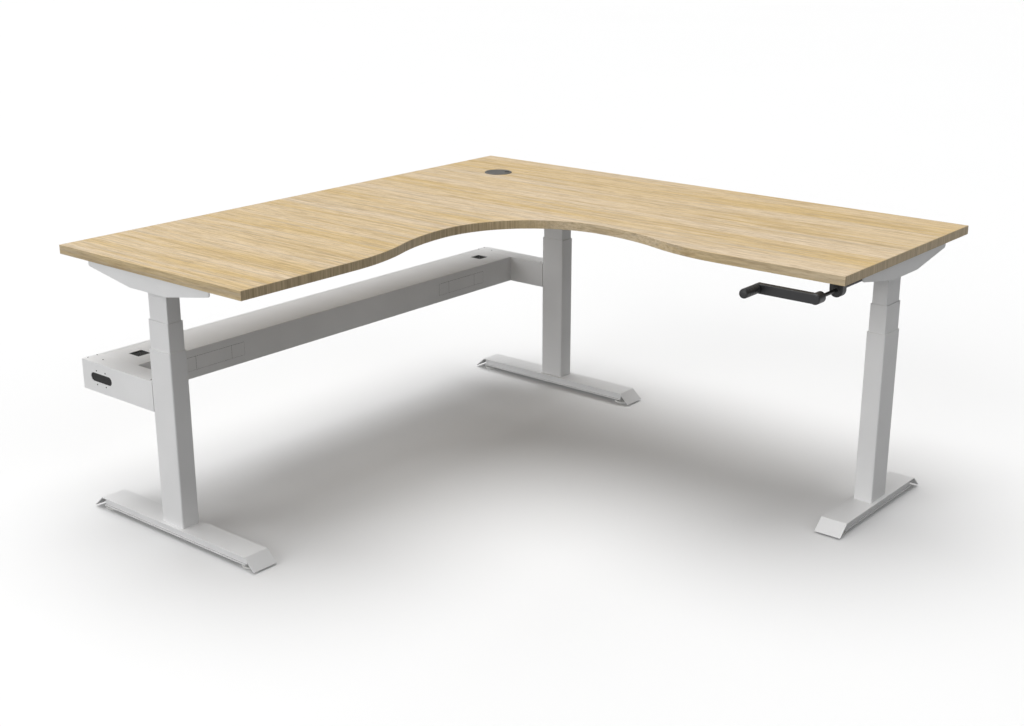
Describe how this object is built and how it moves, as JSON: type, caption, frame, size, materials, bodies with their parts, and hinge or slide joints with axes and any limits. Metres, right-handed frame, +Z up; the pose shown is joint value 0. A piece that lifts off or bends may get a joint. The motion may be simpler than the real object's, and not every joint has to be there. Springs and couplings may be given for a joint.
{
  "type": "height adjustable standing desk",
  "caption": "L-shaped corner desk whose wooden top is raised and lowered on telescopic columns by a hand crank, with a steel cable beam under the back edge.",
  "frame": {"origin": "on the floor, under the middle of the square that the top fits in", "axes": "+Z up; the outer corner of the L points to -X and +Y, the right wing runs along +X at +Y, the left wing along -Y at -X, and the user stands in the open corner towards +X and -Y"},
  "size_m": [1.8, 1.8, 0.768],
  "materials": {
    "oak_top": "oak-look laminate, matt, grain along the right wing",
    "oak_edge": "oak-look edge band, matt",
    "white_steel": "white powder coat, semi-matt",
    "black_steel": "black powder coat",
    "black_plastic": "black moulded plastic",
    "grey_plastic": "dark grey moulded plastic",
    "white_plastic": "off-white moulded plastic",
    "cast_housing": "die-cast housing",
    "steel": "bright steel"
  },
  "bodies": {
    "base": {"outer_tube_left": "white_steel", "outer_tube_corner": "white_steel", "outer_tube_right": "white_steel", "foot_plate_left": "white_steel", "foot_plate_corner": "white_steel", "foot_plate_right": "white_steel", "foot_channel_left": "white_steel", "foot_channel_corner": "white_steel", "foot_channel_right": "white_steel", "base_posts": "steel", "outer_glides": "white_plastic", "foot_bolts": "steel", "beam_spine": "white_steel", "beam_lid": "white_steel", "beam_arm_left": "white_steel", "beam_arm_corner": "white_steel", "socket_plates": "white_steel"},
    "top": {"inner_tube_left": "white_steel", "inner_tube_corner": "white_steel", "inner_tube_right": "white_steel", "inner_sliders": "white_plastic", "side_bracket_left": "white_steel", "side_bracket_corner": "white_steel", "side_bracket_right": "white_steel", "gearbox_left": "cast_housing", "gearbox_corner": "cast_housing", "gearbox_right": "cast_housing", "transfer_gearbox": "cast_housing", "left_wing_rails": "white_steel", "right_wing_rails": "white_steel", "frame_screws": "steel", "worktop": "oak_top", "edge_band": "oak_edge", "grommet_ring": "grey_plastic", "bearing_block": "black_plastic"},
    "grommet_cap": {"grommet_cap": "grey_plastic"},
    "crank": {"crank_shaft": "black_steel", "crank_arm": "black_steel", "grip_pin": "steel"},
    "grip": {"grip": "black_plastic"},
    "cross_shaft": {"cross_shaft": "steel"},
    "wing_shaft": {"wing_shaft": "steel"},
    "middle_left": {"middle_tube_left": "white_steel", "middle_post_left": "steel"},
    "lower_screw_left": {"lower_screw_left": "steel"},
    "upper_screw_left": {"upper_screw_left": "steel"},
    "middle_corner": {"middle_tube_corner": "white_steel", "middle_post_corner": "steel"},
    "lower_screw_corner": {"lower_screw_corner": "steel"},
    "upper_screw_corner": {"upper_screw_corner": "steel"},
    "middle_right": {"middle_tube_right": "white_steel", "middle_post_right": "steel"},
    "lower_screw_right": {"lower_screw_right": "steel"},
    "upper_screw_right": {"upper_screw_right": "steel"},
    "glide_left_front": {"glide_left_front": "white_plastic"},
    "glide_left_back": {"glide_left_back": "white_plastic"},
    "glide_corner_front": {"glide_corner_front": "white_plastic"},
    "glide_corner_back": {"glide_corner_back": "white_plastic"},
    "glide_right_front": {"glide_right_front": "white_plastic"},
    "glide_right_back": {"glide_right_back": "white_plastic"}
  },
  "joints": [
    {"name": "lift", "type": "slide", "parent": "base", "child": "top", "axis": [0, 0, 1], "range_m": [-0.13, 0.47]},
    {"name": "middle_lift_left", "type": "slide", "parent": "base", "child": "middle_left", "axis": [0, 0, 1], "range_m": [-0.065, 0.235]},
    {"name": "lower_screw_turn_left", "type": "hinge", "parent": "middle_left", "child": "lower_screw_left", "pos_m": [-0.525, -0.847, 0.4], "axis": [0, 0, 1], "range_deg": [-14102, 3902]},
    {"name": "upper_screw_turn_left", "type": "hinge", "parent": "top", "child": "upper_screw_left", "pos_m": [-0.525, -0.847, 0.6], "axis": [0, 0, 1], "range_deg": [-14102, 3902]},
    {"name": "middle_lift_corner", "type": "slide", "parent": "base", "child": "middle_corner", "axis": [0, 0, 1], "range_m": [-0.065, 0.235]},
    {"name": "lower_screw_turn_corner", "type": "hinge", "parent": "middle_corner", "child": "lower_screw_corner", "pos_m": [-0.525, 0.816, 0.4], "axis": [0, 0, 1], "range_deg": [-3902, 14102]},
    {"name": "upper_screw_turn_corner", "type": "hinge", "parent": "top", "child": "upper_screw_corner", "pos_m": [-0.525, 0.816, 0.6], "axis": [0, 0, 1], "range_deg": [-3902, 14102]},
    {"name": "middle_lift_right", "type": "slide", "parent": "base", "child": "middle_right", "axis": [0, 0, 1], "range_m": [-0.065, 0.235]},
    {"name": "lower_screw_turn_right", "type": "hinge", "parent": "middle_right", "child": "lower_screw_right", "pos_m": [0.844, 0.513, 0.4], "axis": [0, 0, 1], "range_deg": [-3902, 14102]},
    {"name": "upper_screw_turn_right", "type": "hinge", "parent": "top", "child": "upper_screw_right", "pos_m": [0.844, 0.513, 0.6], "axis": [0, 0, 1], "range_deg": [-3902, 14102]},
    {"name": "crank_turn", "type": "hinge", "parent": "top", "child": "crank", "pos_m": [0.844, 0.15, 0.708], "axis": [0, 1, 0], "range_deg": [-5851, 21151]},
    {"name": "cross_shaft_turn", "type": "hinge", "parent": "top", "child": "cross_shaft", "pos_m": [0, 0.513, 0.708], "axis": [1, 0, 0], "range_deg": [-5851, 21151]},
    {"name": "wing_shaft_turn", "type": "hinge", "parent": "top", "child": "wing_shaft", "pos_m": [-0.525, 0, 0.708], "axis": [0, 1, 0], "range_deg": [-5851, 21151]},
    {"name": "grip_spin", "type": "hinge", "parent": "crank", "child": "grip", "pos_m": [0.68, 0.07, 0.708], "axis": [0, 1, 0], "continuous": true},
    {"name": "cap_turn", "type": "hinge", "parent": "top", "child": "grommet_cap", "pos_m": [-0.667, 0.667, 0.766], "axis": [0, 0, 1], "continuous": true},
    {"name": "level_left_front", "type": "slide", "parent": "base", "child": "glide_left_front", "axis": [0, 0, -1], "range_m": [0, 0.01]},
    {"name": "level_left_back", "type": "slide", "parent": "base", "child": "glide_left_back", "axis": [0, 0, -1], "range_m": [0, 0.01]},
    {"name": "level_corner_front", "type": "slide", "parent": "base", "child": "glide_corner_front", "axis": [0, 0, -1], "range_m": [0, 0.01]},
    {"name": "level_corner_back", "type": "slide", "parent": "base", "child": "glide_corner_back", "axis": [0, 0, -1], "range_m": [0, 0.01]},
    {"name": "level_right_front", "type": "slide", "parent": "base", "child": "glide_right_front", "axis": [0, 0, -1], "range_m": [0, 0.01]},
    {"name": "level_right_back", "type": "slide", "parent": "base", "child": "glide_right_back", "axis": [0, 0, -1], "range_m": [0, 0.01]}
  ],
  "couplings": [
    {"joint": "middle_lift_left", "follows": "lift", "ratio": 0.5},
    {"joint": "lower_screw_turn_left", "follows": "lift", "rad_per_m": -523.6},
    {"joint": "upper_screw_turn_left", "follows": "lift", "rad_per_m": -523.6},
    {"joint": "middle_lift_corner", "follows": "lift", "ratio": 0.5},
    {"joint": "lower_screw_turn_corner", "follows": "lift", "rad_per_m": 523.6},
    {"joint": "upper_screw_turn_corner", "follows": "lift", "rad_per_m": 523.6},
    {"joint": "middle_lift_right", "follows": "lift", "ratio": 0.5},
    {"joint": "lower_screw_turn_right", "follows": "lift", "rad_per_m": 523.6},
    {"joint": "upper_screw_turn_right", "follows": "lift", "rad_per_m": 523.6},
    {"joint": "crank_turn", "follows": "lift", "rad_per_m": 785.4},
    {"joint": "cross_shaft_turn", "follows": "lift", "rad_per_m": 785.4},
    {"joint": "wing_shaft_turn", "follows": "lift", "rad_per_m": 785.4}
  ]
}
